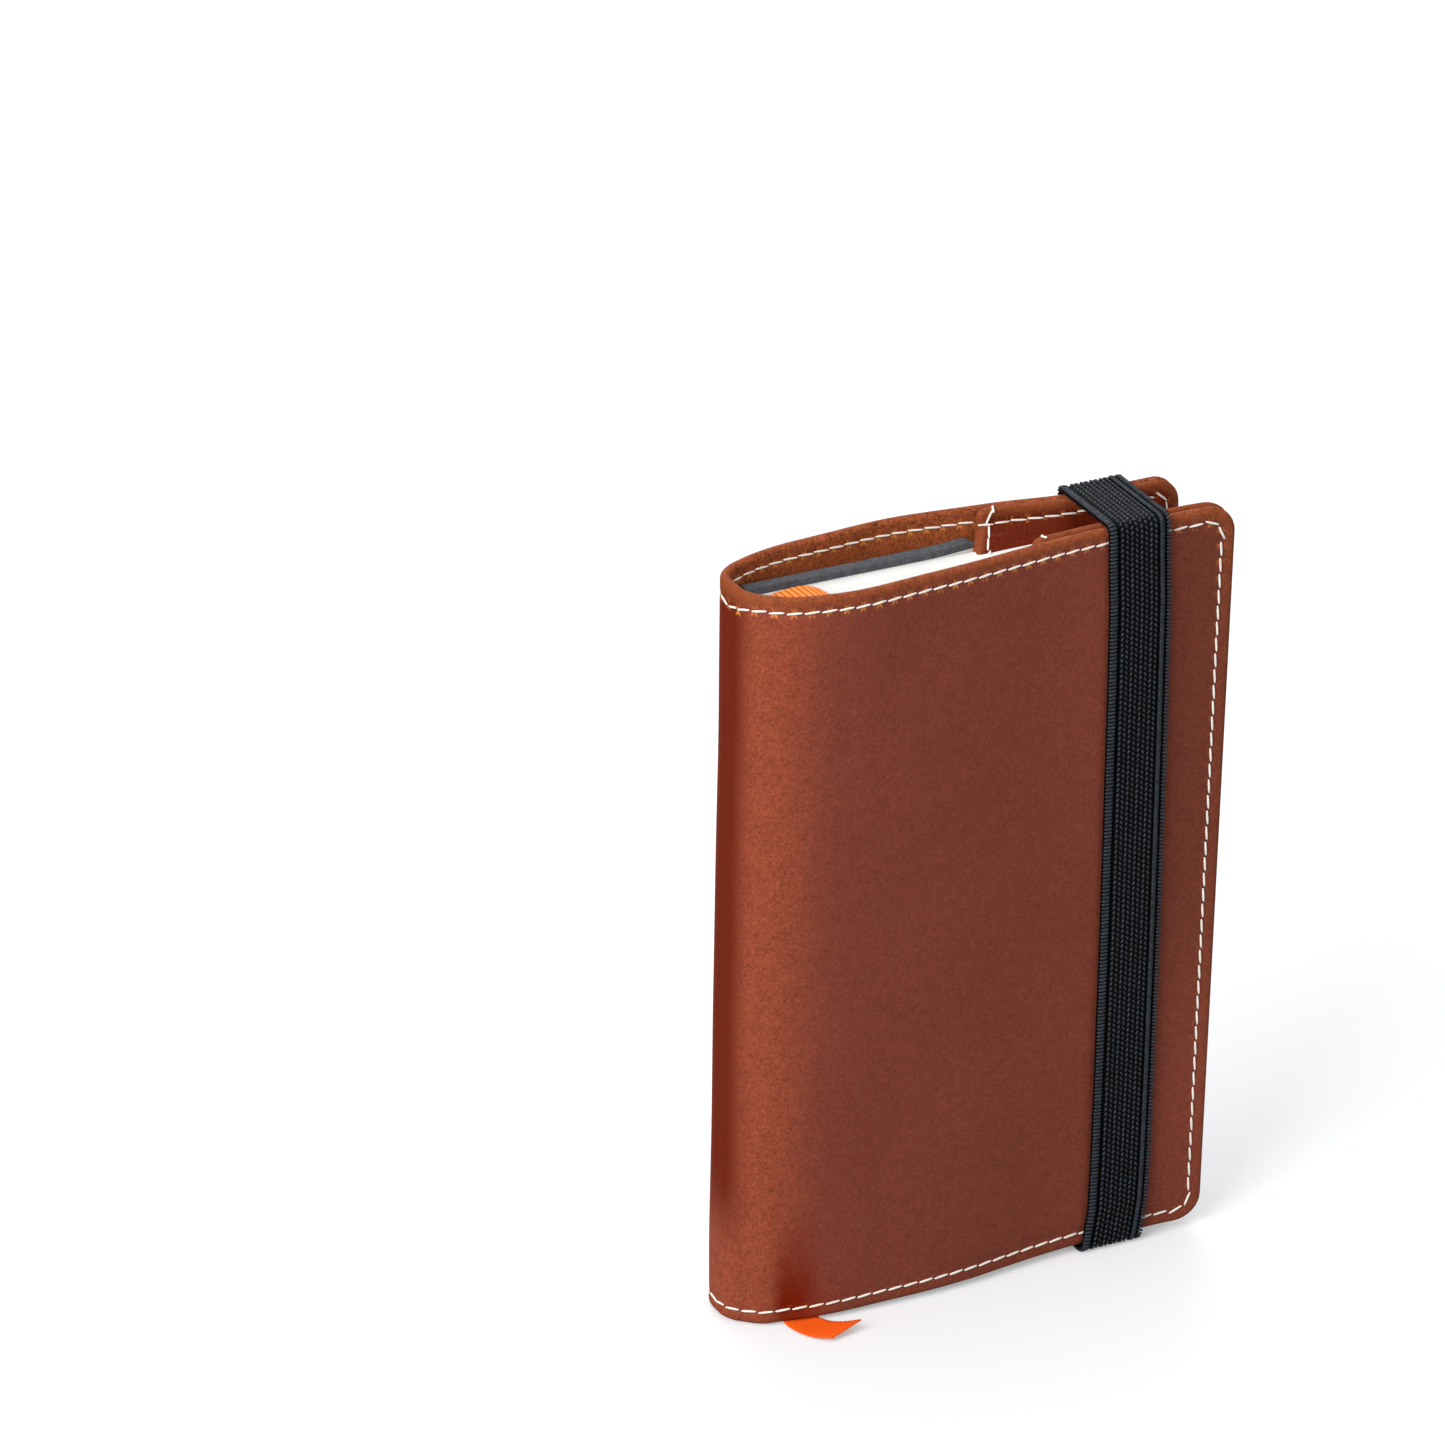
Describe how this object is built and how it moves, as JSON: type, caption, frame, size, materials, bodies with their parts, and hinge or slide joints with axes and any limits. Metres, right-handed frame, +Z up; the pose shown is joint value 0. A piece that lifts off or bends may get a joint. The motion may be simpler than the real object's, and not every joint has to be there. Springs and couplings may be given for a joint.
{
  "type": "leather notebook cover",
  "caption": "Leather slip-on cover on a pocket notebook: wrap-round hide with turned edges, sewn board pockets, folding spine, elastic closure and ribbon.",
  "frame": {"origin": "middle of the footprint of the closed, standing cover with its ribbon tail, at floor level", "axes": "+Z up along the spine, +X from the spine to the fore-edge, -Y out of the front cover"},
  "size_m": [0.0976, 0.0331, 0.1494],
  "materials": {
    "outer_hide": "satin waxed pull-up",
    "turned_edge": "satin, rubbed lighter",
    "pocket_hide": "satin",
    "seam_thread": "twisted polyester thread",
    "board_cloth": "matte grained leatherette",
    "endpaper": "matte",
    "pages": "matte, cut edges",
    "elastic_weave": "woven elastic, matte",
    "ribbon_grosgrain": "ribbed grosgrain, soft sheen"
  },
  "bodies": {
    "back_cover": {"back_leather": "outer_hide", "back_turned_edge": "turned_edge", "back_pocket": "pocket_hide", "back_thread": "seam_thread", "back_board": "board_cloth", "back_endpaper": "endpaper", "back_pages": "pages", "ribbon_loop": "ribbon_grosgrain", "ribbon_body": "ribbon_grosgrain", "ribbon_tail": "ribbon_grosgrain", "elastic_top_end": "elastic_weave", "elastic_bottom_end": "elastic_weave"},
    "spine": {"spine_leather": "outer_hide", "spine_turned_edges": "turned_edge", "spine_thread": "seam_thread", "notebook_spine": "board_cloth"},
    "front_cover": {"front_leather": "outer_hide", "front_turned_edge": "turned_edge", "front_pocket": "pocket_hide", "front_thread": "seam_thread", "front_board": "board_cloth", "front_endpaper": "endpaper", "front_pages": "pages"},
    "elastic": {"elastic_front_run": "elastic_weave", "elastic_top_leg": "elastic_weave", "elastic_bottom_leg": "elastic_weave"}
  },
  "joints": [
    {"name": "cover_fold", "type": "hinge", "parent": "back_cover", "child": "spine", "pos_m": [-0.04405, 0.0118, 0.074], "axis": [0, 0, -1], "range_deg": [0, 90]},
    {"name": "front_fold", "type": "hinge", "parent": "spine", "child": "front_cover", "pos_m": [-0.04405, -0.0034, 0.074], "axis": [0, 0, -1], "range_deg": [0, 90]},
    {"name": "elastic_swing", "type": "hinge", "parent": "back_cover", "child": "elastic", "pos_m": [0.02985, 0.01298, 0.07468], "axis": [-0.0189, 0, 0.9998], "range_deg": [0, 180], "deforming": ["elastic_front_run", "elastic_top_leg", "elastic_bottom_leg"]}
  ],
  "couplings": [
    {"joint": "front_fold", "follows": "cover_fold", "ratio": 1},
    {"joint": "elastic_swing", "follows": "cover_fold", "ratio": 2}
  ]
}
